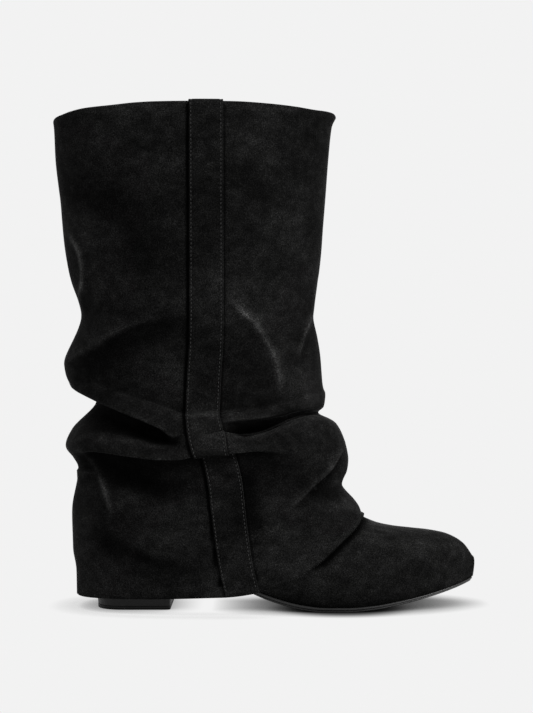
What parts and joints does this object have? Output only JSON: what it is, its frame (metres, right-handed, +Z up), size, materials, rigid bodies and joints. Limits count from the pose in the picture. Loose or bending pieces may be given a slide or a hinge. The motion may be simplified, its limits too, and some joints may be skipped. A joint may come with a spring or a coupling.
{
  "type": "slouch boot",
  "caption": "Right ankle-to-calf slouch boot in black suede: folded-over cuff hanging in rolls, side strap, rounded toe, block heel.",
  "frame": {"origin": "on the floor, under the middle of the boot's bounding box", "axes": "+Z up, +X towards the toe, -Y towards the outer side of the right foot"},
  "size_m": [0.2594, 0.1218, 0.3044],
  "materials": {
    "suede": "black brushed suede with a soft nap",
    "sole": "smooth black",
    "heel": "smooth black, satin",
    "sock": "black textile"
  },
  "bodies": {
    "root": {"outsole": "sole", "heel_tip": "sole", "heel_block": "heel", "insole": "sock", "upper": "suede", "cuff": "suede", "side_band": "suede"}
  },
  "joints": []
}
